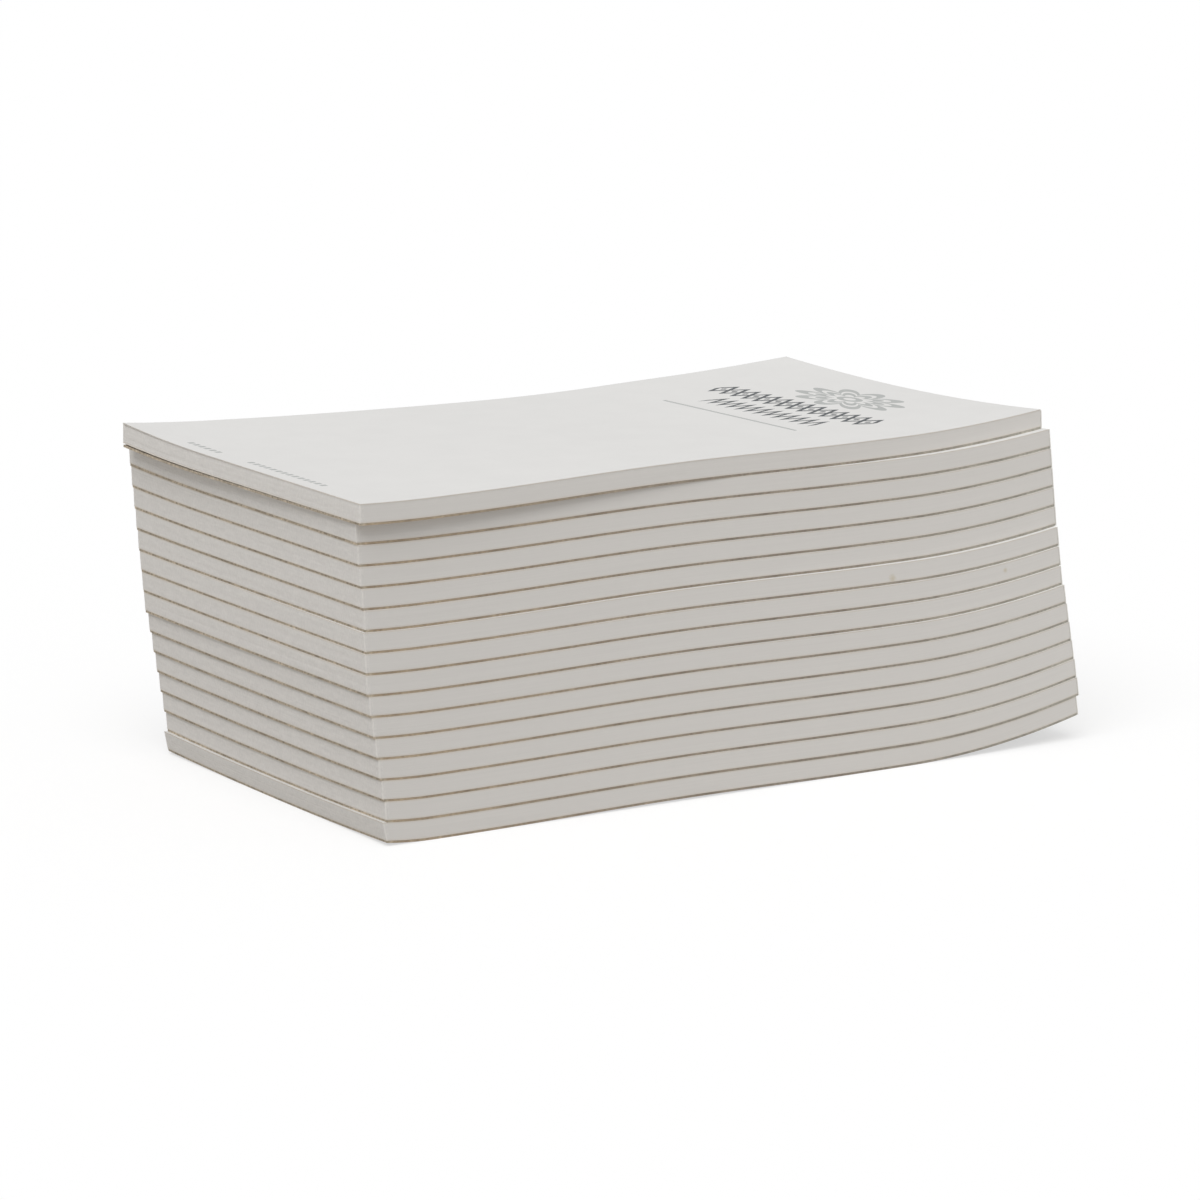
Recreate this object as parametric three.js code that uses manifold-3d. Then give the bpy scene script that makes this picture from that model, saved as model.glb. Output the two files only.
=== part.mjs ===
// A hand-squared stack of glued waiter pads.
//
// Each pad is a block of cut paper on a greyboard back. A film of padding compound holds the
// block and its board together at one short end, the head. The other short end, the foot, is free.
//
// X runs along the pads from the foot to the head, Y runs across them and Z is up. Places in the
// stack are measured from the foot corner of a pad that lies square in it. The finished stack then
// stands on the middle of its own outline. All sizes are in millimetres.

import * as THREE from 'three';
import { mergeVertices } from 'three/addons/utils/BufferGeometryUtils.js';
import Module from 'manifold-3d';

const wasm = await Module();
wasm.setup();

// One pad.
const padLength = 200;
const padWidth = 100;
const paperThickness = 4.5;
const sheetsPerPad = 50;
const boardThickness = 0.4;
const glueThickness = 0.35;

// Air that is left between layers that only lie on each other, and between the film and the cut ends.
const layerGap = 0.05;
const glueGap = 0.05;

// Loose sheets on the top pad, with the air that keeps them apart.
const looseSheetNames = ['third_sheet', 'second_sheet', 'top_sheet'];
const looseSheetGap = 0.05;

// The head end curls up off the table, and the glued end of every pad is a little thinner.
const headCurlLength = 48;
const headCurlLift = 3;
const headPinch = 0.022;

// Across the head end, both long edges stand higher than the middle.
const headCupLift = 2.1;

// The foot end curls up a little, and between the two strips that touch the table the pads arch.
const footCurlLength = 18;
const footCurlLift = 0.4;
const footRestLength = 6;
const headRestLength = 6;
const archRise = 0.55;
const archGain = 0.2;

// Towards the top of the stack the far long edge sags, and its foot corner stands up.
const farEdgeSag = 2.9;
const farHeadSag = 3.4;
const farHeadSagLength = 70;
const cornerLift = 1.25;
const cornerLength = 110;
const cornerWidth = 38;

// The top pad's paper stands off its board at that corner, and its loose sheets stand off the paper.
const paperStandOff = 0.2;
const sheetStandOff = 0.05;
const standOffLength = 34;

// The stack was squared up in handfuls, from the table up. The pads of one handful step evenly:
// along and across are the place of its lowest pad, and turn is in degrees. The leans are in
// millimetres a pad: at the free foot end the sheets have slid a little, and at the head end the
// glue keeps the cut nearly square to the curled sheets.
const handfuls = [
  {
    pads: 1, along: 5, across: -1.3, turn: -0.8, footLean: 1.1, headLean: 0.9,
    alongStep: 0, acrossStep: 0, turnStep: 0,
  },
  {
    pads: 6, along: 4.8, across: -1.7, turn: -0.6, footLean: 0.45, headLean: 0.9,
    alongStep: -0.9, acrossStep: 0.15, turnStep: 0.05,
  },
  {
    pads: 3, along: -0.7, across: -0.6, turn: -0.15, footLean: 0.4, headLean: 0.8,
    alongStep: -0.4, acrossStep: 0.35, turnStep: 0.13,
  },
  {
    pads: 5, along: -1.65, across: 0.95, turn: 0.43, footLean: 0.25, headLean: 0.65,
    alongStep: -0.43, acrossStep: 0.28, turnStep: 0,
  },
  {
    pads: 1, along: -5.6, across: 1.8, turn: 1.95, footLean: 0, headLean: 0.35,
    alongStep: 0, acrossStep: 0, turnStep: 0,
  },
];

// How finely the bent faces are faceted.
const footCells = 3;
const archCells = 3;
const headCells = 5;
const cellsAcross = 4;

// Room around the bent layers, so that the cut always falls inside them.
const trimMargin = 12;

// Colours of the paper, the greyboard and the padding compound.
const paperColour = 0xdfdedc;
const boardColour = 0x968a78;
const glueColour = 0xeceae3;

// Sizes that follow from the ones above.
const headCurlStart = padLength - headCurlLength;
const archStart = footCurlLength + footRestLength;
const archEnd = headCurlStart - headRestLength;
const sheetThickness = paperThickness / sheetsPerPad;
const padPitch = boardThickness + layerGap + paperThickness + layerGap;
const padCount = handfuls.reduce((total, handful) => total + handful.pads, 0);
const stackHeight = padCount * padPitch;

// A smooth hump, 1 in its middle and 0 at both ends and beyond.
function hump(position, start, end) {
  const share = THREE.MathUtils.clamp((position - start) / (end - start), 0, 1);
  return 0.5 - 0.5 * Math.cos(2 * Math.PI * share);
}

// How far a position has gone past a start, in shares of a length, and 0 before it.
function shareBeyond(position, start, length) {
  return Math.max(0, (position - start) / length);
}

// The height, in the bent stack, of a point that would lie at flatHeight in a flat one.
function bentHeight(x, y, flatHeight, standOff) {
  const stackShare = flatHeight / stackHeight;
  const widthShare = y / padWidth;
  const fromMiddle = 2 * widthShare - 1;
  const curl = shareBeyond(x, headCurlStart, headCurlLength) ** 2;
  const foot = shareBeyond(-x, -footCurlLength, footCurlLength) ** 2;
  const sag = farEdgeSag * hump(x, 0, padLength);
  const headSag = farHeadSag * shareBeyond(x, padLength - farHeadSagLength, farHeadSagLength) ** 2;
  const cornerAcross = shareBeyond(y, padWidth - cornerWidth, cornerWidth) ** 2;
  const corner = shareBeyond(-x, -cornerLength, cornerLength) ** 2 * cornerAcross;
  const looseCorner = shareBeyond(-x, -standOffLength, standOffLength) ** 2 * cornerAcross;
  return flatHeight * (1 - headPinch * curl)
    + headCurlLift * curl
    + headCupLift * curl * fromMiddle ** 2
    + footCurlLift * foot
    + (archRise + archGain * stackShare) * hump(x, archStart, archEnd)
    - stackShare * widthShare * (sag + headSag)
    + cornerLift * stackShare ** 4 * corner
    + standOff * looseCorner;
}

// Stations from one position to another in equal steps, without the first of them.
function stepsBetween(start, end, cells) {
  return Array.from({ length: cells }, (unused, i) => start + ((end - start) * (i + 1)) / cells);
}

// Stations along and across the pads. All layers share them, so neighbours stay parallel.
const stationsAlong = [
  -trimMargin,
  ...stepsBetween(-trimMargin, footCurlLength, footCells),
  archStart,
  ...stepsBetween(archStart, archEnd, archCells),
  headCurlStart,
  ...stepsBetween(headCurlStart, padLength + trimMargin, headCells),
];
const stationsAcross = [
  -trimMargin,
  ...stepsBetween(0, padWidth, cellsAcross).slice(0, -1),
  padWidth + trimMargin,
];

// A closed bent layer between two flat heights, larger all round than any pad.
function bentLayer(lowHeight, highHeight, standOff) {
  const positions = [];
  for (const height of [lowHeight, highHeight]) {
    for (const x of stationsAlong) {
      for (const y of stationsAcross) {
        positions.push(x, y, bentHeight(x, y, height, standOff));
      }
    }
  }
  const rows = stationsAlong.length;
  const columns = stationsAcross.length;
  const pointIndex = (face, row, column) => (face * rows + row) * columns + column;
  const index = [];
  const addQuad = (a, b, c, d) => index.push(a, b, c, a, c, d);
  for (let row = 0; row < rows - 1; row += 1) {
    for (let column = 0; column < columns - 1; column += 1) {
      const upper = [[0, 0], [1, 0], [1, 1], [0, 1]].map(
        ([i, j]) => pointIndex(1, row + i, column + j),
      );
      const lower = upper.map((point) => point - rows * columns);
      addQuad(...upper);
      index.push(lower[0], lower[2], lower[1], lower[0], lower[3], lower[2]);
    }
  }
  const addWall = (rowA, columnA, rowB, columnB) => addQuad(
    pointIndex(0, rowA, columnA),
    pointIndex(0, rowB, columnB),
    pointIndex(1, rowB, columnB),
    pointIndex(1, rowA, columnA),
  );
  for (let row = 0; row < rows - 1; row += 1) {
    addWall(row, 0, row + 1, 0);
    addWall(row + 1, columns - 1, row, columns - 1);
  }
  for (let column = 0; column < columns - 1; column += 1) {
    addWall(0, column + 1, 0, column);
    addWall(rows - 1, column, rows - 1, column + 1);
  }
  const geometry = new THREE.BufferGeometry();
  geometry.setAttribute('position', new THREE.Float32BufferAttribute(positions, 3));
  geometry.setIndex(index);
  return geometry;
}

// The place of every pad: its shift, its turn, its leans and the flat height of its underside.
function placePads() {
  const places = [];
  for (const handful of handfuls) {
    for (let i = 0; i < handful.pads; i += 1) {
      places.push({
        along: handful.along + i * handful.alongStep,
        across: handful.across + i * handful.acrossStep,
        turn: THREE.MathUtils.degToRad(handful.turn + i * handful.turnStep),
        footLean: handful.footLean,
        headLean: handful.headLean,
        base: places.length * padPitch,
      });
    }
  }
  return places;
}

// What the guillotine leaves of a layer: a block from one place along the pad to another. It leans,
// so its top is further towards the foot than its bottom, by an amount that changes from the foot to
// the head. It leans about the pad's own middle, which the curl lifts at the head.
function guillotineBlock(place, from, to) {
  const bladeHeight = 4 * padPitch;
  const footMiddle = place.base + padPitch / 2;
  const headMiddle = bentHeight(padLength, 0, footMiddle, 0);
  const block = new THREE.BoxGeometry(to - from, padWidth, bladeHeight);
  block.translate((from + to) / 2, 0, footMiddle);
  const corners = block.attributes.position;
  for (let i = 0; i < corners.count; i += 1) {
    const headShare = corners.getX(i) / padLength;
    const lean = THREE.MathUtils.lerp(place.footLean, place.headLean, headShare);
    const middle = THREE.MathUtils.lerp(footMiddle, headMiddle, headShare);
    corners.setX(i, corners.getX(i) - (lean / padPitch) * (corners.getZ(i) - middle));
  }
  block.translate(-padLength / 2, 0, 0);
  block.rotateZ(place.turn);
  block.translate(padLength / 2 + place.along, padWidth / 2 + place.across, 0);
  return block;
}

function solidOf(geometry) {
  const bare = geometry.clone();
  bare.deleteAttribute('normal');
  bare.deleteAttribute('uv');
  const merged = mergeVertices(bare, 1e-5);
  return new wasm.Manifold(new wasm.Mesh({
    numProp: 3,
    vertProperties: new Float32Array(merged.attributes.position.array),
    triVerts: new Uint32Array(merged.index.array),
  }));
}

function meshOf(name, solid, colour, roughness) {
  const result = solid.getMesh();
  const geometry = new THREE.BufferGeometry();
  geometry.setAttribute('position', new THREE.Float32BufferAttribute(result.vertProperties, 3));
  geometry.setIndex([...result.triVerts]);
  geometry.computeVertexNormals();
  const material = new THREE.MeshStandardMaterial({ color: colour, roughness, metalness: 0 });
  const mesh = new THREE.Mesh(geometry, material);
  mesh.name = name;
  return mesh;
}

// One bent layer of a pad, trimmed to the pad's outline.
function trimmedLayer(place, from, to, low, high, standOff = 0) {
  const layer = solidOf(bentLayer(place.base + low, place.base + high, standOff));
  return layer.intersect(solidOf(guillotineBlock(place, from, to)));
}

// The board, the paper block on it, and the film of padding compound down the head end of both.
function makePad(place, name, sheets, paperLift) {
  const blockLow = boardThickness + layerGap;
  const blockHigh = blockLow + sheets * sheetThickness;
  const filmStart = padLength + glueGap;
  const filmEnd = filmStart + glueThickness;
  const board = trimmedLayer(place, 0, padLength, 0, boardThickness);
  const block = trimmedLayer(place, 0, padLength, blockLow, blockHigh, paperLift);
  const film = trimmedLayer(place, filmStart, filmEnd, 0, blockHigh);
  const pad = new THREE.Group();
  pad.add(meshOf(`${name}_board`, board, boardColour, 0.95));
  pad.add(meshOf(`${name}_sheets`, block, paperColour, 0.85));
  pad.add(meshOf(`${name}_glue`, film, glueColour, 0.45));
  return pad;
}

// The loose sheets on the top pad, from the lowest to the uppermost.
function makeLooseSheets(place, blockHigh) {
  const sheets = new THREE.Group();
  looseSheetNames.forEach((name, i) => {
    const low = blockHigh + looseSheetGap + i * (sheetThickness + looseSheetGap);
    const lift = paperStandOff + (i + 1) * sheetStandOff;
    const sheet = trimmedLayer(place, 0, padLength, low, low + sheetThickness, lift);
    sheets.add(meshOf(name, sheet, paperColour, 0.85));
  });
  return sheets;
}

function makeStack() {
  const stack = new THREE.Group();
  placePads().forEach((place, i) => {
    const isTop = i === padCount - 1;
    const name = `pad_${String(i + 1).padStart(2, '0')}`;
    const sheets = isTop ? sheetsPerPad - looseSheetNames.length : sheetsPerPad;
    stack.add(makePad(place, name, sheets, isTop ? paperStandOff : 0));
    if (isTop) {
      const blockHigh = boardThickness + layerGap + sheets * sheetThickness;
      stack.add(makeLooseSheets(place, blockHigh));
    }
  });
  const outline = new THREE.Box3().setFromObject(stack);
  const middle = outline.getCenter(new THREE.Vector3());
  stack.position.set(-middle.x, -middle.y, -outline.min.z);
  return stack;
}

export default makeStack();
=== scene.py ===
"""A hand-squared stack of sixteen glued waiter pads, dressed for a soft studio picture."""

import math

import bpy
from mathutils import Euler, Matrix, Vector


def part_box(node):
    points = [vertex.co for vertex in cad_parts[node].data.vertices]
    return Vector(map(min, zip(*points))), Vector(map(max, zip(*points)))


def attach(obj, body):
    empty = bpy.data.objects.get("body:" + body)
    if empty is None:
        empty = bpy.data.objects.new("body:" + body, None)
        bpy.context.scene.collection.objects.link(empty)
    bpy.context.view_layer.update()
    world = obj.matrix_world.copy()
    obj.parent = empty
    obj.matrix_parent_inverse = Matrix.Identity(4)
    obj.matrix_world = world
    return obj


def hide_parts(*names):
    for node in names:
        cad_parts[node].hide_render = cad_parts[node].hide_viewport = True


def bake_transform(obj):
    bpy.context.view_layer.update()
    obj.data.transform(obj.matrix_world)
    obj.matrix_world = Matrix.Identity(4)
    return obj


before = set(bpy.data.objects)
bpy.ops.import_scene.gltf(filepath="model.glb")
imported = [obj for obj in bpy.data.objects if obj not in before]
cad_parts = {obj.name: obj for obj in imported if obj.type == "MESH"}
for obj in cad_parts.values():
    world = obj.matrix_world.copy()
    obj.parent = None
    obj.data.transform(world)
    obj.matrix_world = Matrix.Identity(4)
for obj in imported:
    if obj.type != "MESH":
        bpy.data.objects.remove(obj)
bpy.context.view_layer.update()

# The view: a long lens a little above the table, with the near foot corner of the stack towards it.
# The camera leans by a degree, as a hand-held one does. Sizes are in millimetres, and METRE turns
# them into Blender's metres where a piece is finished.
METRE = 0.001
view_azimuth = math.radians(34.7246)
view_elevation = math.radians(12.6288)
view_roll = math.radians(0.9898)
view_distance = 1401.945
view_aim = Vector((-1.587, -0.641, 37.0))
sensor_width = 36
focal_length = 173.81
nearest_seen = 50
furthest_seen = 60000

camera = bpy.data.objects.new("camera", bpy.data.cameras.new("camera"))
bpy.context.scene.collection.objects.link(camera)
camera.data.sensor_width = sensor_width
camera.data.lens = focal_length
camera.data.clip_start = nearest_seen * METRE
camera.data.clip_end = furthest_seen * METRE
look_along = Vector((
    math.sin(view_azimuth) * math.cos(view_elevation),
    math.cos(view_azimuth) * math.cos(view_elevation),
    -math.sin(view_elevation),
))
view_turn = Euler((math.pi / 2 - view_elevation, 0, -view_azimuth)).to_matrix()
camera.matrix_world = Matrix.LocRotScale(
    (view_aim - look_along * view_distance) * METRE,
    view_turn @ Matrix.Rotation(view_roll, 3, "Z"),
    None,
)
bpy.context.scene.camera = camera
bpy.context.scene.view_settings.view_transform = "Standard"


# The studio: a white tent that glows all round, one wide soft lamp above the camera, and a pale
# floor. Tent and lamp together light a level face as an even white sky would, so a colour comes out
# as it is written. The sides get half of the tent, less of the lamp and the light off the floor.
white = "#FFFFFF"
tent_glow = 0.48
lamp_strength = 0.61
lamp_azimuth = math.radians(50)
lamp_elevation = math.radians(58.5)
lamp_width = math.radians(50)
floor_size = 40000
floor_bounce = "#C3C1BE"
floor_glow = 0.6
MATH = "ShaderNodeMath"


def linear(colour):
    """An sRGB hex colour as linear red, green, blue and alpha."""
    shares = [int(colour[i:i + 2], 16) / 255 for i in (1, 3, 5)]
    return [s / 12.92 if s <= 0.04045 else ((s + 0.055) / 1.055) ** 2.4 for s in shares] + [1]


def add(tree, kind, inputs=(), **settings):
    """Adds a node with its settings. Its inputs, in order or by name, are values, nodes or sockets."""
    node = tree.nodes.new(kind)
    for name, value in settings.items():
        setattr(node, name, value)
    in_order = [socket for socket in node.inputs if socket.enabled]
    named = inputs if isinstance(inputs, dict) else dict(enumerate(inputs))
    for key, value in named.items():
        socket = in_order[key] if isinstance(key, int) else node.inputs[key]
        if isinstance(value, bpy.types.Node):
            value = next(output for output in value.outputs if output.enabled)
        if isinstance(value, bpy.types.NodeSocket):
            tree.links.new(value, socket)
        elif value is not None:
            socket.default_value = value
    return node


def new_material(name):
    """An empty material, and its node tree."""
    material = bpy.data.materials.new(name)
    material.use_nodes = True
    material.node_tree.nodes.clear()
    return material, material.node_tree


def seen_directly(tree):
    """1 for what the camera sees, in a mirror or through glass as well, and 0 for scattered light."""
    path = add(tree, "ShaderNodeLightPath").outputs
    seen = add(tree, MATH, (path["Is Camera Ray"], path["Is Glossy Ray"]), operation="MAXIMUM")
    return add(tree, MATH, (seen, path["Is Transmission Ray"]), operation="MAXIMUM")


def white_tent():
    """The world: plain white to look at, and an even glow to the object."""
    world = bpy.data.worlds.new("white_tent")
    world.use_nodes = True
    tree = world.node_tree
    tree.nodes.clear()
    glow = add(tree, "ShaderNodeMapRange", (seen_directly(tree), 0, 1, tent_glow, 1))
    light = add(tree, "ShaderNodeBackground", (linear(white), glow))
    add(tree, "ShaderNodeOutputWorld", (light,))
    return world


def floor_paint():
    """Matt paint: nearly white to look at, with a faint shadow, and pale grey to the light it scatters."""
    material, tree = new_material("matt_floor_paint")
    seen = seen_directly(tree)
    colour = add(tree, "ShaderNodeMix", (seen, linear(floor_bounce), linear(white)), data_type="RGBA")
    paint = add(tree, "ShaderNodeBsdfDiffuse", (colour,))
    glow = add(tree, "ShaderNodeEmission", (linear(white), 1))
    share = add(tree, MATH, (seen, floor_glow), operation="MULTIPLY")
    mixed = add(tree, "ShaderNodeMixShader", (share, paint, glow))
    add(tree, "ShaderNodeOutputMaterial", (mixed,))
    return material


bpy.context.scene.world = white_tent()
floor_half = floor_size / 2 * METRE
floor_mesh = bpy.data.meshes.new("floor")
floor_mesh.from_pydata(
    [(-floor_half, -floor_half, 0), (floor_half, -floor_half, 0),
     (floor_half, floor_half, 0), (-floor_half, floor_half, 0)],
    [],
    [(0, 1, 2, 3)],
)
floor = bpy.data.objects.new("floor", floor_mesh)
bpy.context.scene.collection.objects.link(floor)
floor.data.materials.append(floor_paint())

lamp = bpy.data.objects.new("wide_soft_lamp", bpy.data.lights.new("wide_soft_lamp", "SUN"))
bpy.context.scene.collection.objects.link(lamp)
lamp.data.energy = lamp_strength * math.pi
lamp.data.angle = lamp_width
lamp.matrix_world = Euler((math.pi / 2 - lamp_elevation, 0, -lamp_azimuth)).to_matrix().to_4x4()


# The stack: sixteen pads of paper on board, squared up by hand in handfuls, so they sit a little
# askew. Every layer bends with the stack: the head end curls up, and most at its two corners. The
# foot corners of the lowest pads stand up a little, and the far long edge sags towards the top.
pad_length = 200.0
pad_width = 100.0
paper_thickness = 4.43
sheets_per_pad = 50
board_thickness = 0.55
glue_thickness = 0.35
layer_gap = 0.01
glue_gap = 0.01
sheet_thickness = paper_thickness / sheets_per_pad
pad_pitch = board_thickness + layer_gap + paper_thickness + layer_gap

# Each handful, from the table up: its pads, the place of its lowest one along and across, its turn
# in degrees, and how these step from pad to pad. The leans are in millimetres a pad, towards the
# foot: there the loose sheets have slid, and the glued head end is nearly square to its curl.
handfuls = [
    dict(pads=1, along=4.8, across=-1.65, turn=-0.6, foot_lean=1.1, head_lean=0.9,
         along_step=0, across_step=0, turn_step=0),
    dict(pads=6, along=4.8, across=-1.7, turn=-0.6, foot_lean=0.45, head_lean=0.9,
         along_step=-0.9, across_step=0.15, turn_step=0.05),
    dict(pads=3, along=-0.7, across=-0.6, turn=-0.15, foot_lean=0.4, head_lean=0.8,
         along_step=-0.4, across_step=0.35, turn_step=0.13),
    dict(pads=5, along=-1.65, across=0.95, turn=0.43, foot_lean=0.25, head_lean=0.65,
         along_step=-0.43, across_step=0.28, turn_step=0),
    dict(pads=1, along=-5.6, across=1.8, turn=1.95, foot_lean=0.0, head_lean=0.35,
         along_step=0, across_step=0, turn_step=0),
]


def place_pads():
    """The shift, turn, leans and flat middle height of every pad, from the table up."""
    places = []
    for handful in handfuls:
        for i in range(handful["pads"]):
            places.append({
                "Along": handful["along"] + i * handful["along_step"],
                "Across": handful["across"] + i * handful["across_step"],
                "Turn": math.radians(handful["turn"] + i * handful["turn_step"]),
                "Foot lean": handful["foot_lean"] / pad_pitch,
                "Head lean": handful["head_lean"] / pad_pitch,
                "Pad middle": (len(places) + 0.5) * pad_pitch,
            })
    return places


pads = place_pads()
stack_height = len(pads) * pad_pitch

# The bend of the stack, in millimetres. Starts, ends and edges are places on a flat pad, from its
# foot or across it from its near edge. The head pinch is a share of the height, and the fade power
# says how fast a lift of the foot corners fades, from the table up or from the top down.
bend_sizes = {
    "Pad length": pad_length,
    "Pad width": pad_width,
    "Stack height": stack_height,
    "Head curl start": 152.0,
    "Head curl lift": 3.0,
    "Head pinch": 0.022,
    "Head cup lift": 2.1,
    "Foot curl start": 18.0,
    "Foot curl lift": 0.4,
    "Foot corner lift": 1.5,
    "Foot middle drop": 0.4,
    "Arch start": 24.0,
    "Arch end": 146.0,
    "Arch rise": 0.55,
    "Arch gain": 0.2,
    "Far edge sag": 2.9,
    "Far head sag": 3.4,
    "Far head sag start": 130.0,
    "Corner lift": 1.25,
    "Corner start": 110.0,
    "Corner inner edge": 62.0,
    "Fade power": 4.0,
    "Stand-off start": 34.0,
}

SOCKET_KINDS = {
    float: "NodeSocketFloat",
    int: "NodeSocketInt",
    Vector: "NodeSocketVector",
    type(None): "NodeSocketMaterial",
}


def new_tree(name, inputs, output, output_kind):
    """An empty Geometry Nodes tree with named inputs and one output."""
    tree = bpy.data.node_groups.new(name, "GeometryNodeTree")
    for label, value in inputs.items():
        kind = SOCKET_KINDS[type(value)]
        socket = tree.interface.new_socket(label, in_out="INPUT", socket_type=kind)
        if value is not None:
            socket.default_value = value
    tree.interface.new_socket(output, in_out="OUTPUT", socket_type=output_kind)
    return tree


def squared_share(tree, position, start, end):
    """The square of how far a position has gone from a start towards an end, and 0 before the start."""
    share = add(tree, "ShaderNodeMapRange", (position, start, end, 0, 1), clamp=False)
    past = add(tree, MATH, (share, 0), operation="MAXIMUM")
    return add(tree, MATH, (past, 2), operation="POWER")


def hump(tree, position, start, end):
    """A smooth hump, 1 in its middle and 0 at both ends and beyond."""
    angle = add(tree, "ShaderNodeMapRange", (position, start, end, 0, 2 * math.pi), clamp=True)
    cosine = add(tree, MATH, (angle,), operation="COSINE")
    return add(tree, MATH, (cosine, -0.5, 0.5), operation="MULTIPLY_ADD")


def bend_tree():
    """Gives the height, in the bent stack, of a point of a flat one."""
    inputs = {"Place": Vector(), "Stand-off": 0.0, **bend_sizes}
    tree = new_tree("stack_bend", inputs, "Height", "NodeSocketFloat")
    given = add(tree, "NodeGroupInput").outputs
    x, y, flat = add(tree, "ShaderNodeSeparateXYZ", (given["Place"],)).outputs
    stack_share = add(tree, MATH, (flat, given["Stack height"]), operation="DIVIDE")
    width_share = add(tree, MATH, (y, given["Pad width"]), operation="DIVIDE")
    from_middle = add(tree, MATH, (width_share, 2, -1), operation="MULTIPLY_ADD")
    cup = add(tree, MATH, (from_middle, 2), operation="POWER")
    curl = squared_share(tree, x, given["Head curl start"], given["Pad length"])
    foot = squared_share(tree, x, given["Foot curl start"], 0)
    arch = hump(tree, x, given["Arch start"], given["Arch end"])
    long_sag = hump(tree, x, 0, given["Pad length"])
    head_sag = squared_share(tree, x, given["Far head sag start"], given["Pad length"])
    base_share = add(tree, MATH, (1, stack_share), operation="SUBTRACT")
    base_share = add(tree, MATH, (base_share, given["Fade power"]), operation="POWER")
    corner_across = squared_share(tree, y, given["Corner inner edge"], given["Pad width"])
    corner_along = squared_share(tree, x, given["Corner start"], 0)
    loose_along = squared_share(tree, x, given["Stand-off start"], 0)

    pinched = add(tree, MATH, (flat, given["Head pinch"]), operation="MULTIPLY")
    cup_lift = (cup, given["Head cup lift"], given["Head curl lift"])
    cup_lift = add(tree, MATH, cup_lift, operation="MULTIPLY_ADD")
    curl_lift = add(tree, MATH, (cup_lift, pinched), operation="SUBTRACT")
    foot_cup = add(tree, MATH, (cup, given["Foot corner lift"]), operation="MULTIPLY")
    foot_cup = add(tree, MATH, (foot_cup, given["Foot middle drop"]), operation="SUBTRACT")
    foot_lift = (foot_cup, base_share, given["Foot curl lift"])
    foot_lift = add(tree, MATH, foot_lift, operation="MULTIPLY_ADD")
    arch_lift = (stack_share, given["Arch gain"], given["Arch rise"])
    arch_lift = add(tree, MATH, arch_lift, operation="MULTIPLY_ADD")
    sag = add(tree, MATH, (head_sag, given["Far head sag"]), operation="MULTIPLY")
    sag = add(tree, MATH, (long_sag, given["Far edge sag"], sag), operation="MULTIPLY_ADD")
    sag_share = add(tree, MATH, (stack_share, width_share), operation="MULTIPLY")
    corner_share = add(tree, MATH, (stack_share, given["Fade power"]), operation="POWER")
    corner_lift = add(tree, MATH, (corner_share, given["Corner lift"]), operation="MULTIPLY")
    corner = add(tree, MATH, (corner_across, corner_along), operation="MULTIPLY")
    loose = add(tree, MATH, (width_share, loose_along), operation="MULTIPLY")

    height = add(tree, MATH, (curl, curl_lift, flat), operation="MULTIPLY_ADD")
    height = add(tree, MATH, (foot, foot_lift, height), operation="MULTIPLY_ADD")
    height = add(tree, MATH, (arch, arch_lift, height), operation="MULTIPLY_ADD")
    height = add(tree, MATH, (corner, corner_lift, height), operation="MULTIPLY_ADD")
    height = add(tree, MATH, (loose, given["Stand-off"], height), operation="MULTIPLY_ADD")
    fallen = add(tree, MATH, (sag, sag_share), operation="MULTIPLY")
    height = add(tree, MATH, (height, fallen), operation="SUBTRACT")
    add(tree, "NodeGroupOutput", (height,))
    return tree


# Every layer of a pad is a pile of plies between two places along it: the sheets of a block, the
# plies of a board. A ply is an upright wall round the pile, and no two plies are quite alike.
# The stack's middle is found from the top board, whose foot corners are its lowest in x and in y.
layer_sizes = {
    "From": 0.0,
    "To": pad_length,
    "Width": pad_width,
    "Underside": 0.0,
    "Plies": 1,
    "Ply thickness": sheet_thickness,
    "Crevice": 0.1,
    "Points along": 33,
    "Points across": 17,
    "Ply scatter": 0.0,
    "Edge wear": 0.0,
    "End wear": 1.0,
    "Wear grain": 1.0,
    "Along": 0.0,
    "Across": 0.0,
    "Turn": 0.0,
    "Foot lean": 0.0,
    "Head lean": 0.0,
    "Pad middle": 0.0,
    "Stand-off": 0.0,
    "Stack middle": Vector(),
    "Seed": 0,
    "Upper face": None,
    "Lower face": None,
    "Cut edge": None,
}
top_pad = pads[-1]
top_board_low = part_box("pad_16_board")[0] / METRE
half_length = Vector((pad_length / 2, 0, 0))
half_width = Vector((0, pad_width / 2, 0))
top_pad_turn = Matrix.Rotation(top_pad["Turn"], 3, "Z")
far_foot_corner = top_pad_turn @ (half_width - half_length)
near_foot_corner = top_pad_turn @ (-half_width - half_length)
stack_middle = Vector((
    pad_length / 2 + top_pad["Along"] + far_foot_corner.x - top_board_low.x,
    pad_width / 2 + top_pad["Across"] + near_foot_corner.y - top_board_low.y,
    0,
))

# A face is level where its normal points up or down by more than this share. A pad's lean depends
# on its height in the bent stack, so that is found in passes, each with the height of the last one.
level_share = 0.9
leaning_passes = 2


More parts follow.
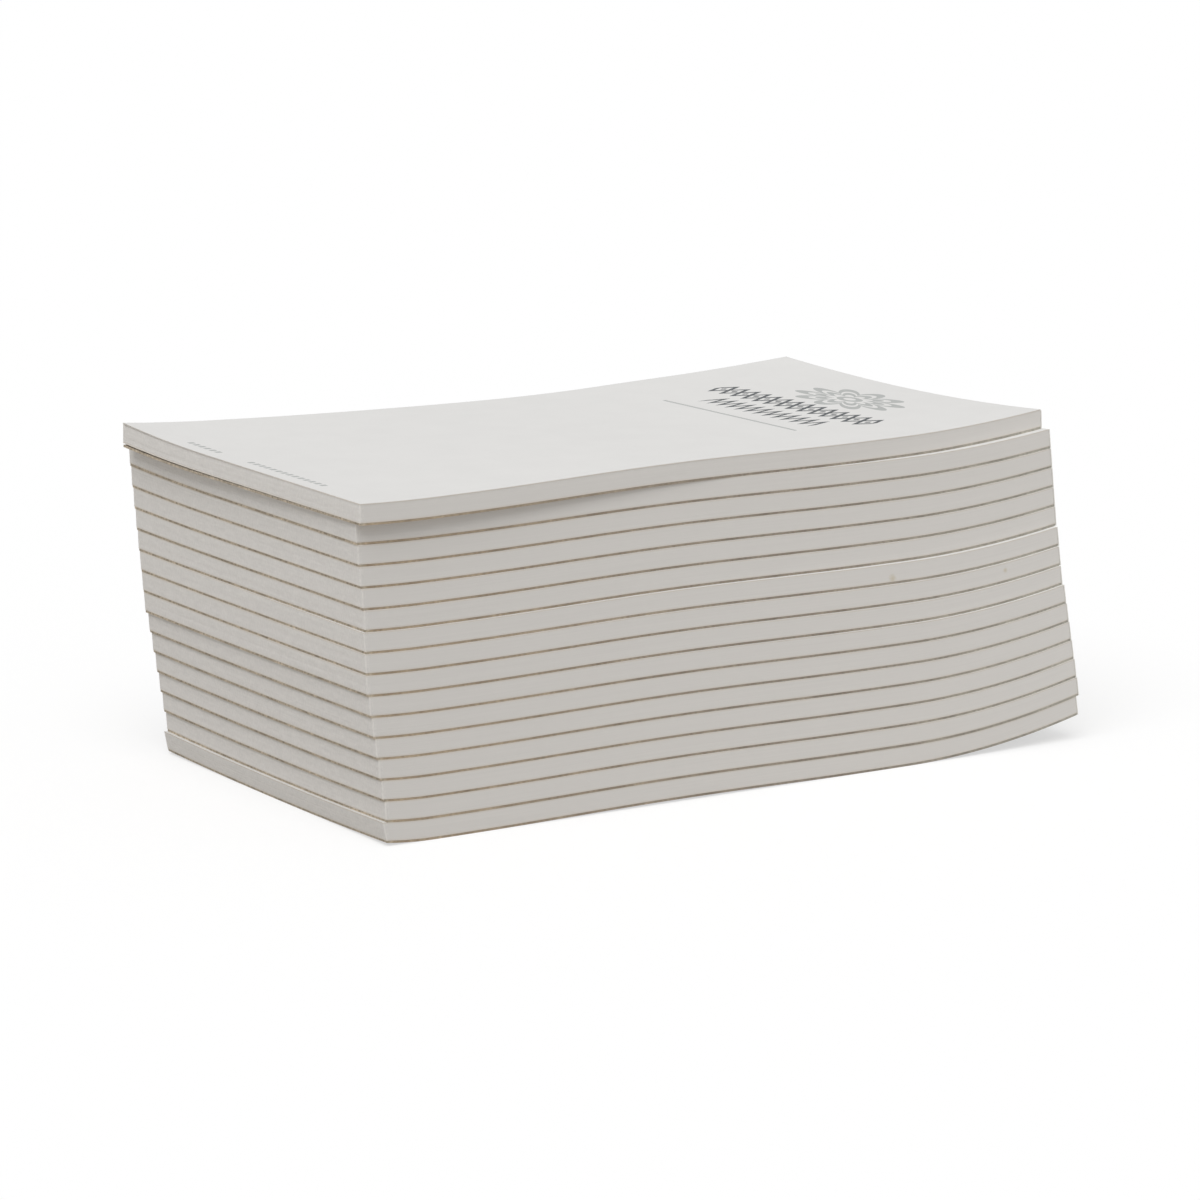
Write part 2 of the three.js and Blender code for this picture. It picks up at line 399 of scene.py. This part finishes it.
def flat_plies(tree, given):
    """A flat pile of plies as a closed block, and the field of where each of its points lies on the pad."""
    length = add(tree, MATH, (given["To"], given["From"]), operation="SUBTRACT")
    size = add(tree, "ShaderNodeCombineXYZ", (length, given["Width"], 1))
    rings = add(tree, MATH, (given["Plies"], 2), operation="MULTIPLY")
    counts = (size, given["Points along"], given["Points across"], rings)
    cube = add(tree, "GeometryNodeMeshCube", counts).outputs["Mesh"]

    x, y, z = add(tree, "ShaderNodeSeparateXYZ", (add(tree, "GeometryNodeInputPosition"),)).outputs
    last_ring = add(tree, MATH, (rings, 1), operation="SUBTRACT")
    ring = add(tree, "ShaderNodeMapRange", (z, -0.5, 0.5, 0, last_ring))
    ring = add(tree, MATH, (ring,), operation="ROUND")
    half_ring = add(tree, MATH, (ring, 0.5), operation="MULTIPLY")
    ply = add(tree, MATH, (half_ring,), operation="FLOOR")
    upper = add(tree, MATH, (half_ring, ply), operation="GREATER_THAN")
    closed = add(tree, MATH, (1, given["Crevice"]), operation="SUBTRACT")
    plies_up = add(tree, MATH, (upper, closed, ply), operation="MULTIPLY_ADD")
    height = add(tree, MATH, (plies_up, given["Ply thickness"], given["Underside"]), operation="MULTIPLY_ADD")

    scatter = add(
        tree, "FunctionNodeRandomValue", (0, given["Ply scatter"], ply, given["Seed"]), data_type="FLOAT",
    )
    flat = add(tree, "ShaderNodeCombineXYZ", (x, y, height))
    grain = add(tree, MATH, (1, given["Wear grain"]), operation="DIVIDE")
    wear = add(
        tree, "ShaderNodeTexNoise", {"Vector": flat, "W": given["Seed"], "Scale": grain, "Detail": 3.0},
        noise_dimensions="4D",
    )
    drawn_in = add(tree, MATH, (wear, given["Edge wear"], scatter), operation="MULTIPLY_ADD")
    drawn_in_ends = add(tree, MATH, (drawn_in, given["End wear"]), operation="MULTIPLY")
    moved = []
    for position, whole, inwards in ((x, length, drawn_in_ends), (y, given["Width"], drawn_in)):
        side = add(tree, MATH, (position, whole), operation="DIVIDE")
        shift = add(tree, MATH, (side, inwards), operation="MULTIPLY")
        moved.append(add(tree, MATH, (shift, -2, position), operation="MULTIPLY_ADD"))
    ends = add(tree, MATH, (given["From"], given["To"]), operation="ADD")
    along = add(tree, MATH, (ends, 0.5, moved[0]), operation="MULTIPLY_ADD")
    across = add(tree, MATH, (given["Width"], 0.5, moved[1]), operation="MULTIPLY_ADD")
    return cube, add(tree, "ShaderNodeCombineXYZ", (along, across, height))


def from_foot_to_head(tree, along, at_foot, at_head):
    """A value that changes evenly from the foot of a pad to its head."""
    return add(tree, "ShaderNodeMapRange", (along, 0, pad_length, at_foot, at_head), clamp=False)


def turn_and_shift(tree, given, place, height, head_middle):
    """Where a pad's point lies in the stack, once the pad leans, is turned and is shifted."""
    along = add(tree, "ShaderNodeSeparateXYZ", (place,)).outputs["X"]
    lean = from_foot_to_head(tree, along, given["Foot lean"], given["Head lean"])
    middle = from_foot_to_head(tree, along, given["Pad middle"], head_middle)
    above = add(tree, MATH, (height, middle), operation="SUBTRACT")
    slide = add(tree, MATH, (above, lean), operation="MULTIPLY")
    slide = add(tree, "ShaderNodeCombineXYZ", (slide, 0, 0))
    leaning = add(tree, "ShaderNodeVectorMath", (place, slide), operation="SUBTRACT")
    turned = add(
        tree, "ShaderNodeVectorRotate",
        {"Vector": leaning, "Center": half_length + half_width, "Angle": given["Turn"]},
        rotation_type="Z_AXIS",
    )
    shift = add(tree, "ShaderNodeCombineXYZ", (given["Along"], given["Across"], 0))
    return add(tree, "ShaderNodeVectorMath", (turned, shift), operation="ADD")


def layer_tree():
    """One layer of a pad, laid in the bent stack."""
    tree = new_tree("pad_layer", layer_sizes, "Layer", "NodeSocketGeometry")
    given = add(tree, "NodeGroupInput").outputs
    cube, place = flat_plies(tree, given)

    facing = add(tree, "GeometryNodeCaptureAttribute", (cube,), domain="FACE")
    facing.capture_items.new("FLOAT", "Up")
    normal = add(tree, "ShaderNodeSeparateXYZ", (add(tree, "GeometryNodeInputNormal"),)).outputs
    tree.links.new(normal["Z"], facing.inputs["Up"])
    up = facing.outputs["Up"]
    steep = add(tree, MATH, (up,), operation="ABSOLUTE")
    compared = dict(data_type="FLOAT", operation="GREATER_THAN")
    level = add(tree, "FunctionNodeCompare", (steep, level_share), **compared)
    upwards = add(tree, "FunctionNodeCompare", (up, level_share), **compared)
    sideways = add(tree, "FunctionNodeBooleanMath", (level,), operation="NOT")
    shaded = add(tree, "GeometryNodeSetShadeSmooth", (facing.outputs["Geometry"], True, level))
    shaded = add(tree, "GeometryNodeSetShadeSmooth", (shaded, True, level), domain="EDGE")
    kept = add(
        tree, "GeometryNodeStoreNamedAttribute",
        {"Geometry": shaded, "Name": "pad_place", "Value": place},
        data_type="FLOAT_VECTOR", domain="POINT",
    )

    bend = bend_tree()
    head_place = add(tree, "ShaderNodeCombineXYZ", (pad_length, 0, given["Pad middle"]))
    head_middle = add(tree, "GeometryNodeGroup", {"Place": head_place}, node_tree=bend)
    height = add(tree, "ShaderNodeSeparateXYZ", (place,)).outputs["Z"]
    for leaning_pass in range(leaning_passes):
        lying = turn_and_shift(tree, given, place, height, head_middle)
        bent_layer = {"Place": lying, "Stand-off": given["Stand-off"]}
        height = add(tree, "GeometryNodeGroup", bent_layer, node_tree=bend).outputs["Height"]
    x, y = add(tree, "ShaderNodeSeparateXYZ", (lying,)).outputs[:2]
    bent = add(tree, "ShaderNodeCombineXYZ", (x, y, height))
    centred = add(tree, "ShaderNodeVectorMath", (bent, given["Stack middle"]), operation="SUBTRACT")
    finished = add(tree, "ShaderNodeVectorMath", {"Vector": centred, "Scale": METRE}, operation="SCALE")
    laid = add(tree, "GeometryNodeSetPosition", {"Geometry": kept, "Position": finished})

    whole = add(tree, "GeometryNodeRealizeInstances", (laid,))
    whole = add(tree, "GeometryNodeSetMaterial", (whole, True, given["Lower face"]))
    whole = add(tree, "GeometryNodeSetMaterial", (whole, upwards, given["Upper face"]))
    whole = add(tree, "GeometryNodeSetMaterial", (whole, sideways, given["Cut edge"]))
    add(tree, "NodeGroupOutput", (whole,))
    return tree


pad_layer = layer_tree()


def make_layer(name, sizes):
    """A piece made by the layer tree, as a plain mesh in its place."""
    piece = bpy.data.objects.new(name, bpy.data.meshes.new(name))
    bpy.context.scene.collection.objects.link(piece)
    modifier = piece.modifiers.new("layer", "NODES")
    modifier.node_group = pad_layer
    chosen = {"Stack middle": stack_middle, **sizes}
    for item in pad_layer.interface.items_tree:
        if item.in_out == "INPUT" and item.name in chosen:
            modifier[item.identifier] = chosen[item.name]
    graph = bpy.context.evaluated_depsgraph_get()
    mesh = bpy.data.meshes.new_from_object(piece.evaluated_get(graph))
    piece.modifiers.remove(modifier)
    piece.data = mesh
    mesh.name = name
    return piece


# The greyboards: one under each pad, cut with the paper in one stroke of the guillotine.
# Greyboard is pressed from waste paper, so its cut edge is a rough brown line, browner towards the
# free foot and worn there by handling, and its face is dull and speckled.
board_plies = 3

# The colour at the foot, and how it changes along the pad: each change with the places where it
# starts and ends, and the colour after it.
board_end_colour = "#C1B4A1"
board_changes = [
    (1, 2, "#B09F89"),
    (2, 110, "#9F9588"),
    (130, 200, "#B4B0A5"),
]

# How much darker and lighter the board is in its patches and in its speckles. The speckles are
# darkest on the foot's end face, which lies within the first millimetre of the pad.
patch_tones = (0.8, 1.2)
speckle_tones = (0.82, 1.18)
end_speckle_tones = (0.57, 1.2)
end_face_depth = 1
noise_range = (0.3, 0.7)


def noise(tree, place, scale, detail=3.0, stretch=(1, 1, 1)):
    """Cloudy noise between about 0.3 and 0.7, with a scale in clouds a millimetre."""
    stretched = add(tree, "ShaderNodeMapping", {"Vector": place, "Scale": [scale * s for s in stretch]})
    return add(tree, "ShaderNodeTexNoise", {"Vector": stretched, "Scale": 1.0, "Detail": detail})


def tone_by(tree, tone, pattern, low, high):
    """A tone made darker or lighter by a pattern of noise."""
    share = add(tree, "ShaderNodeMapRange", (pattern, *noise_range, low, high))
    return add(tree, MATH, (tone, share), operation="MULTIPLY")


def times(tree, colour, tone):
    """A colour made darker or lighter."""
    return add(tree, "ShaderNodeVectorMath", {"Vector": colour, "Scale": tone}, operation="SCALE")


def greyboard():
    """Greyboard, pressed and cut: brown-grey and dull, with darker patches and fine pale fibres."""
    material, tree = new_material("pressed_greyboard")
    place = add(tree, "ShaderNodeAttribute", attribute_name="pad_place").outputs["Vector"]
    along = add(tree, "ShaderNodeSeparateXYZ", (place,)).outputs["X"]
    colour = linear(board_end_colour)
    for start, end, next_colour in board_changes:
        share = add(tree, "ShaderNodeMapRange", (along, start, end, 0, 1))
        ends = (share, colour, linear(next_colour))
        colour = add(tree, "ShaderNodeMix", ends, data_type="RGBA")
    at_foot = add(tree, MATH, (along, end_face_depth), operation="LESS_THAN")
    darkest, palest = [
        add(tree, "ShaderNodeMapRange", (at_foot, 0, 1, elsewhere, on_end_face))
        for elsewhere, on_end_face in zip(speckle_tones, end_speckle_tones)
    ]
    tone = tone_by(tree, 1, noise(tree, place, scale=0.12, detail=4.0), *patch_tones)
    tone = tone_by(tree, tone, noise(tree, place, scale=1.3), darkest, palest)
    fibres = noise(tree, place, scale=4.0)
    bump = add(tree, "ShaderNodeBump", {"Strength": 0.5, "Distance": 0.1 * METRE, "Height": fibres})
    board = add(tree, "ShaderNodeBsdfPrincipled", {
        "Base Color": times(tree, colour, tone), "Roughness": 0.95, "Specular IOR Level": 0.2,
        "Normal": bump,
    })
    add(tree, "ShaderNodeOutputMaterial", (board,))
    return material


board_material = greyboard()
for number, pad in enumerate(pads, 1):
    board = make_layer(f"greyboard_{number:02d}", {
        **pad,
        "Underside": (number - 1) * pad_pitch,
        "Plies": board_plies,
        "Ply thickness": board_thickness / board_plies,
        "Points along": 81,
        "Points across": 41,
        "Crevice": 0.04,
        "Ply scatter": 0.02,
        "Edge wear": 0.06,
        "End wear": 4.0,
        "Wear grain": 2.2,
        "Seed": number,
        "Upper face": board_material,
        "Lower face": board_material,
        "Cut edge": board_material,
    })
    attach(board, f"pad_{number:02d}")
    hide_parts(f"pad_{number:02d}_board")


# The paper blocks: fifty sheets of uncoated offset paper in each pad, forty-seven in the top one.
# Each sheet is printed on its upper face. The guillotine leaves the four sides flat: smooth along
# the pad, and cloudy at the foot, where the sheets have slid over each other.
paper_colour = "#DFDEDC"
paper_tones = (0.99, 1.01)
edge_colour = "#DFDCD8"
block_low = board_thickness + layer_gap

# The print, in millimetres on the pad: a pale rosette, a chain of lozenges, a zigzag and a rule
# near the head, and two short dotted rules at the foot. The measures of a line, dot, gap, petal or
# ring are shares of the form that it is in.
ink_colour = "#3C4247"
pale_ink_colour = "#A4A7A5"
ink_cover = 0.88
pale_ink_cover = 0.75
lozenge_row = dict(middle=162.0, half=4.1, start=17.6, end=79.2, pitch=4.4, line=0.26, dot=0.7)
zigzag_row = dict(middle=150.8, half=3.0, start=24.2, end=67.4, pitch=3.6, line=0.5)
head_rule = dict(middle=140.8, half=0.5, start=21.0, end=73.8, pitch=1.2, gap=0.1)
foot_rules = [
    dict(middle=5.0, half=0.9, start=21.0, end=53.0, pitch=2.3, gap=0.4),
    dict(middle=5.0, half=0.9, start=65.0, end=79.0, pitch=2.3, gap=0.4),
]
rosette_middle = (178.2, 47.0)
rosette_reach = (10.5, 18.5)
rosette_petals = 10
petal_depth = 0.4
petal_rings = [(0.88, 0.12), (0.53, 0.1)]
middle_ring = (0.17, 0.06)

# The cut edge has painted light that makes it a little lighter towards the head, and its sheets are not quite
# alike. The foot is cloudy, with a grain drawn coarser than single sheets, so that it shows. The near foot
# corner and the rim of the uppermost sheets are painted lighter, as painted highlights where they would catch
# the light.
painted_light_tones = (0.987, 1.055)
sheet_tones = (0.985, 1.015)
cloud_tones = (0.985, 1.04)
grain_tones = (0.96, 1.04)
corner_depths = (0.15, 0.45)
corner_painted_highlight = 1.1
rim_depth = 0.2
rim_painted_highlight = 1.12

# Close to each board the cut paper is tinted brown: partly by dust of the board that clings to it, partly as
# painted warm light bounced off the board into the shade under it. There are two small marks on the near long
# side, given by their place along the pad, height in the stack and radius.
dust_and_bounce_colour = "#C9B595"
dust_and_bounce_cover = 0.3
dust_and_bounce_reach = 0.75
stain_colour = "#C2B183"
stain_cover = 0.4
stain_fade = (0.6, 1.5)
edge_stains = [(149.0, 46.4, 1.3), (183.1, 43.1, 0.8)]


def across_row(tree, along, row):
    """How far a point is from the middle line of a printed row, in shares of its half height."""
    scale = (row["middle"] - row["half"], row["middle"] + row["half"], -1, 1)
    return add(tree, "ShaderNodeMapRange", (along, *scale), clamp=False)


def along_row(tree, across, row):
    """0 at the ends of each cell of a printed row and 1 in its middle."""
    from_start = add(tree, MATH, (across, row["start"]), operation="SUBTRACT")
    wave = add(tree, MATH, (from_start, row["pitch"] / 2), operation="PINGPONG")
    return add(tree, MATH, (wave, row["pitch"] / 2), operation="DIVIDE")


def cut_to_row(tree, across, row, marks):
    """The marks of a printed row, and nothing beyond its two ends."""
    middle = (row["start"] + row["end"]) / 2
    inside = add(tree, MATH, (across, middle, row["end"] - middle), operation="COMPARE")
    return add(tree, MATH, (inside, marks), operation="MULTIPLY")


def lozenges(tree, along, across, row):
    """A chain of lozenge outlines with a dot in each."""
    side = add(tree, MATH, (across_row(tree, along, row),), operation="ABSOLUTE")
    cell = along_row(tree, across, row)
    outline = add(tree, MATH, (side, cell, row["line"]), operation="COMPARE")
    inside = add(tree, MATH, (cell, side), operation="SUBTRACT")
    dot = add(tree, MATH, (inside, row["dot"]), operation="GREATER_THAN")
    marks = add(tree, MATH, (outline, dot), operation="MAXIMUM")
    return cut_to_row(tree, across, row, marks)


def zigzag(tree, along, across, row):
    """One thick line that goes up and down across the row."""
    wave = add(tree, MATH, (along_row(tree, across, row), 2, -1), operation="MULTIPLY_ADD")
    line = add(tree, MATH, (across_row(tree, along, row), wave, row["line"]), operation="COMPARE")
    return cut_to_row(tree, across, row, line)


def dotted_rule(tree, along, across, row):
    """A line of dots, with gaps that are a share of the pitch."""
    cell = add(tree, MATH, (along_row(tree, across, row), row["gap"]), operation="GREATER_THAN")
    line = add(tree, MATH, (along, row["middle"], row["half"]), operation="COMPARE")
    marks = add(tree, MATH, (cell, line), operation="MULTIPLY")
    return cut_to_row(tree, across, row, marks)


def rosette(tree, along, across):
    """An oval rosette: two rings of petals round a small ring."""
    u = add(tree, MATH, (along, rosette_middle[0]), operation="SUBTRACT")
    v = add(tree, MATH, (across, rosette_middle[1]), operation="SUBTRACT")
    u = add(tree, MATH, (u, rosette_reach[0]), operation="DIVIDE")
    v = add(tree, MATH, (v, rosette_reach[1]), operation="DIVIDE")
    from_middle = add(tree, "ShaderNodeCombineXYZ", (u, v, 0))
    radius = add(tree, "ShaderNodeVectorMath", (from_middle,), operation="LENGTH").outputs["Value"]
    angle = add(tree, MATH, (v, u), operation="ARCTAN2")
    wave = add(tree, MATH, (angle, rosette_petals / 2), operation="MULTIPLY")
    wave = add(tree, MATH, (wave,), operation="COSINE")
    wave = add(tree, MATH, (wave,), operation="ABSOLUTE")
    petals = add(tree, MATH, (wave, petal_depth, 1 - petal_depth), operation="MULTIPLY_ADD")
    in_petals = add(tree, MATH, (radius, petals), operation="DIVIDE")
    marks = add(tree, MATH, (radius, *middle_ring), operation="COMPARE")
    for ring in petal_rings:
        petal_ring = add(tree, MATH, (in_petals, *ring), operation="COMPARE")
        marks = add(tree, MATH, (marks, petal_ring), operation="MAXIMUM")
    return marks


def print_on(tree, place, paper):
    """The colour of the paper with the print on it."""
    along, across = add(tree, "ShaderNodeSeparateXYZ", (place,)).outputs[:2]
    pale = rosette(tree, along, across)
    for row in (head_rule, *foot_rules):
        pale = add(tree, MATH, (pale, dotted_rule(tree, along, across, row)), operation="MAXIMUM")
    dark = lozenges(tree, along, across, lozenge_row)
    dark = add(tree, MATH, (dark, zigzag(tree, along, across, zigzag_row)), operation="MAXIMUM")
    inks = ((pale, pale_ink_cover, pale_ink_colour), (dark, ink_cover, ink_colour))
    for marks, full_cover, colour in inks:
        cover = add(tree, MATH, (marks, full_cover), operation="MULTIPLY")
        inked = (cover, paper, linear(colour))
        paper = add(tree, "ShaderNodeMix", inked, data_type="RGBA")
    return paper


def paper_surface(tree, colour, fibres):
    """Uncoated paper: matt, with the faint relief of its fibres."""
    bump = add(tree, "ShaderNodeBump", {"Strength": 0.15, "Distance": 0.05 * METRE, "Height": fibres})
    paper = add(tree, "ShaderNodeBsdfPrincipled", {
        "Base Color": colour, "Roughness": 0.9, "Specular IOR Level": 0.15, "Normal": bump,
    })
    add(tree, "ShaderNodeOutputMaterial", (paper,))


def offset_paper(name, printed):
    """Uncoated offset paper: faintly cloudy where the fibres lie thicker, bare or printed."""
    material, tree = new_material(name)
    place = add(tree, "ShaderNodeAttribute", attribute_name="pad_place").outputs["Vector"]
    tone = tone_by(tree, 1, noise(tree, place, scale=0.12, detail=4.0), *paper_tones)
    colour = times(tree, linear(paper_colour)[:3], tone)
    if printed:
        colour = print_on(tree, place, colour)
    paper_surface(tree, colour, noise(tree, place, scale=3.0))
    return material


def cut_paper_edge():
    """The cut side of a block: warmer than its faces, cloudy at the foot, with painted light and painted
    highlights, and tinted by the boards with dust and painted bounce light.
    """
    material, tree = new_material("guillotined_paper_edge")
    place = add(tree, "ShaderNodeAttribute", attribute_name="pad_place").outputs["Vector"]
    along, across, height = add(tree, "ShaderNodeSeparateXYZ", (place,)).outputs
    lines = noise(tree, place, scale=2.5, stretch=(0.008, 0.008, 1))
    # Painted light: the cut edge is painted lighter from the foot towards the head.
    tone = add(tree, "ShaderNodeMapRange", (along, 0, pad_length, *painted_light_tones))
    tone = tone_by(tree, tone, lines, *sheet_tones)
    clouds = noise(tree, place, scale=0.9, detail=4.0, stretch=(1, 0.35, 1))
    cloudy = tone_by(tree, tone, clouds, *cloud_tones)
    grain = noise(tree, place, scale=2.6, detail=2.0, stretch=(1, 1, 0.45))
    cloudy = tone_by(tree, cloudy, grain, *grain_tones)
    at_foot = add(tree, MATH, (along, end_face_depth), operation="LESS_THAN")
    tone = add(tree, "ShaderNodeMix", (at_foot, tone, cloudy), data_type="FLOAT")

    # Painted highlights: the edge is painted lighter close to the near foot corner and along the top rim of
    # the stack.
    corner = add(tree, "ShaderNodeCombineXYZ", (along, across, 0))
    corner = add(tree, "ShaderNodeVectorMath", (corner,), operation="LENGTH").outputs["Value"]
    painted_corner_highlight = add(tree, "ShaderNodeMapRange", (corner, *corner_depths, corner_painted_highlight, 1))
    rim_low = stack_height - rim_depth
    painted_rim_highlight = add(tree, "ShaderNodeMapRange", (height, rim_low, stack_height, 1, rim_painted_highlight))
    light = add(tree, MATH, (painted_corner_highlight, painted_rim_highlight), operation="MAXIMUM")
    tone = add(tree, MATH, (tone, light), operation="MULTIPLY")
    colour = times(tree, linear(edge_colour)[:3], tone)

    # Near each board the edge is tinted brown: dust of the board, and painted warm light bounced off it.
    above_board = add(tree, MATH, (height, pad_pitch), operation="FLOORED_MODULO")
    to_board = add(tree, MATH, (above_board, board_thickness / 2), operation="SUBTRACT")
    to_board = add(tree, MATH, (to_board, pad_pitch / 2), operation="PINGPONG")
    dust_and_bounce = add(tree, "ShaderNodeMapRange", (to_board, board_thickness / 2, dust_and_bounce_reach, dust_and_bounce_cover, 0))
    dust_and_bounce_mix = (dust_and_bounce, colour, linear(dust_and_bounce_colour))
    colour = add(tree, "ShaderNodeMix", dust_and_bounce_mix, data_type="RGBA")

    for stain_along, stain_height, radius in edge_stains:
        stain = (stain_along, 0, stain_height)
        away = add(tree, "ShaderNodeVectorMath", (place, stain), operation="DISTANCE").outputs["Value"]
        ragged = add(tree, MATH, (clouds, radius, away), operation="MULTIPLY_ADD")
        inner, outer = [radius * share for share in stain_fade]
        cover = add(tree, "ShaderNodeMapRange", (ragged, inner, outer, stain_cover, 0))
        stained = (cover, colour, linear(stain_colour))
        colour = add(tree, "ShaderNodeMix", stained, data_type="RGBA")
    paper_surface(tree, colour, lines)
    return material


plain_paper = offset_paper("offset_paper", False)
printed_paper = offset_paper("printed_offset_paper", True)
paper_edge = cut_paper_edge()
loose_sheets = ["third", "second", "top"]
glued_sheets = [sheets_per_pad] * (len(pads) - 1) + [sheets_per_pad - len(loose_sheets)]
paper_stand_off = 0.26
for number, (pad, sheets) in enumerate(zip(pads, glued_sheets), 1):
    block = make_layer(f"paper_block_{number:02d}", {
        **pad,
        "Underside": (number - 1) * pad_pitch + block_low,
        "Plies": sheets,
        "Points along": 41,
        "Points across": 17,
        "Crevice": 0.06,
        "Ply scatter": 0.015,
        "Edge wear": 0.02,
        "End wear": 3.0,
        "Wear grain": 8.0,
        "Stand-off": paper_stand_off if pad is top_pad else 0.0,
        "Seed": 100 + number,
        "Upper face": printed_paper,
        "Lower face": plain_paper,
        "Cut edge": paper_edge,
    })
    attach(block, f"pad_{number:02d}")
    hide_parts(f"pad_{number:02d}_sheets")


# The films of padding compound: a water-based rubbery glue, brushed over the head end of the stack
# of pads in two coats and slit with a knife between the boards. It dries white with a low gloss.
glue_colour = "#ECEAE3"
stroke_tones = (0.95, 1.03)
film_start = pad_length + glue_gap
film_plies = 6


def padding_compound():
    """Dried padding compound: a white rubbery film with a low gloss and brush marks."""
    material, tree = new_material("dried_padding_compound")
    place = add(tree, "ShaderNodeAttribute", attribute_name="pad_place").outputs["Vector"]
    strokes = noise(tree, place, scale=1.2, stretch=(1, 0.12, 1.4))
    colour = times(tree, linear(glue_colour)[:3], tone_by(tree, 1, strokes, *stroke_tones))
    bump = add(tree, "ShaderNodeBump", {"Strength": 0.6, "Distance": 0.2 * METRE, "Height": strokes})
    film = add(tree, "ShaderNodeBsdfPrincipled", {
        "Base Color": colour, "Roughness": 0.42, "IOR": 1.48, "Normal": bump,
    })
    add(tree, "ShaderNodeOutputMaterial", (film,))
    return material


glue_material = padding_compound()
for number, (pad, sheets) in enumerate(zip(pads, glued_sheets), 1):
    film = make_layer(f"glue_film_{number:02d}", {
        **pad,
        "From": film_start,
        "To": film_start + glue_thickness,
        "Underside": (number - 1) * pad_pitch,
        "Plies": film_plies,
        "Ply thickness": (block_low + sheets * sheet_thickness) / film_plies,
        "Crevice": 0.05,
        "Points along": 2,
        "Points across": 121,
        "Edge wear": 0.05,
        "Wear grain": 3.0,
        "Seed": 200 + number,
        "Upper face": glue_material,
        "Lower face": glue_material,
        "Cut edge": glue_material,
    })
    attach(film, f"pad_{number:02d}")
    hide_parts(f"pad_{number:02d}_glue")


# The loose sheets: the three uppermost sheets of the top pad, free of the glue but for their head edge.
# They stand a little off the block at the foot, most towards the far side, each more than the one below.
loose_sheet_gap = 0.01
sheet_stand_off = 0.04
lowest_underside = block_low + glued_sheets[-1] * sheet_thickness + loose_sheet_gap
for i, name in enumerate(loose_sheets):
    underside = lowest_underside + i * (sheet_thickness + loose_sheet_gap)
    sheet = make_layer(f"loose_sheet_{name}", {
        **top_pad,
        "Underside": (len(pads) - 1) * pad_pitch + underside,
        "Plies": 1,
        "Crevice": 0.0,
        "Points along": 129,
        "Points across": 33,
        "Stand-off": paper_stand_off + (i + 1) * sheet_stand_off,
        "Seed": 300 + i,
        "Upper face": printed_paper,
        "Lower face": plain_paper,
        "Cut edge": paper_edge,
    })
    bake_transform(sheet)
    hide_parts(f"{name}_sheet")
